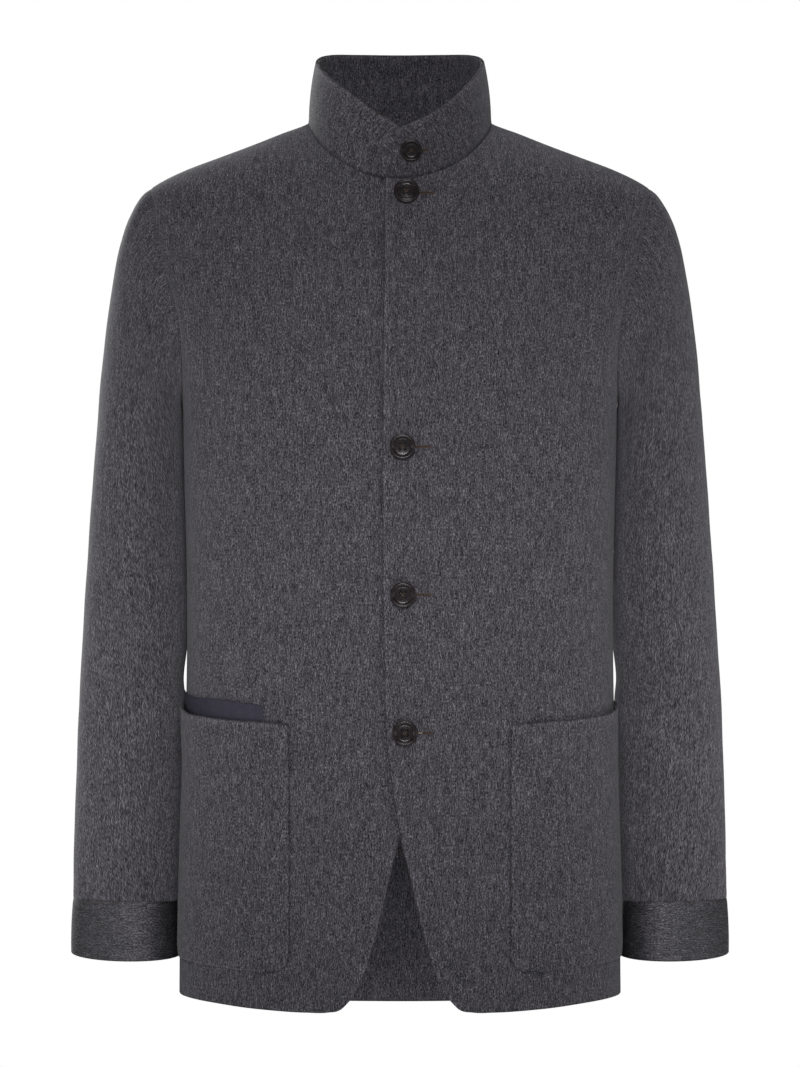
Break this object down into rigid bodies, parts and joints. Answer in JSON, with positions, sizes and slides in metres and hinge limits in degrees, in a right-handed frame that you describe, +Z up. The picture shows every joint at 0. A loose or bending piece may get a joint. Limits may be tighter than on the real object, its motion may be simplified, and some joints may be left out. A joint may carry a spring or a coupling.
{
  "type": "cashmere jacket",
  "caption": "Grey cashmere jacket with a stand collar, buttoned front, patch pockets and turned cuffs, filled out hollow as if worn.",
  "frame": {"origin": "centre of the neck, midway between the two points where the collar meets the shoulder seams", "axes": "+Z up, -Y out of the jacket's front, +X to the wearer's left"},
  "size_m": [0.563, 0.28, 0.817],
  "materials": {
    "cashmere": "soft brushed wool with a short nap running down the jacket",
    "cashmere_across": "the same brushed wool with its nap running round the cuff",
    "satin": "smooth dark satin weave",
    "horn": "polished dark horn"
  },
  "bodies": {
    "root": {"front_left": "cashmere", "front_right": "cashmere", "back": "cashmere", "sleeve_left": "cashmere", "sleeve_right": "cashmere", "cuff_left": "cashmere_across", "cuff_right": "cashmere_across", "collar": "cashmere", "pocket_left": "cashmere", "pocket_right": "cashmere", "pocket_facing_right": "satin", "button_1": "horn", "button_2": "horn", "button_3": "horn", "button_4": "horn", "button_collar": "horn"}
  },
  "joints": []
}
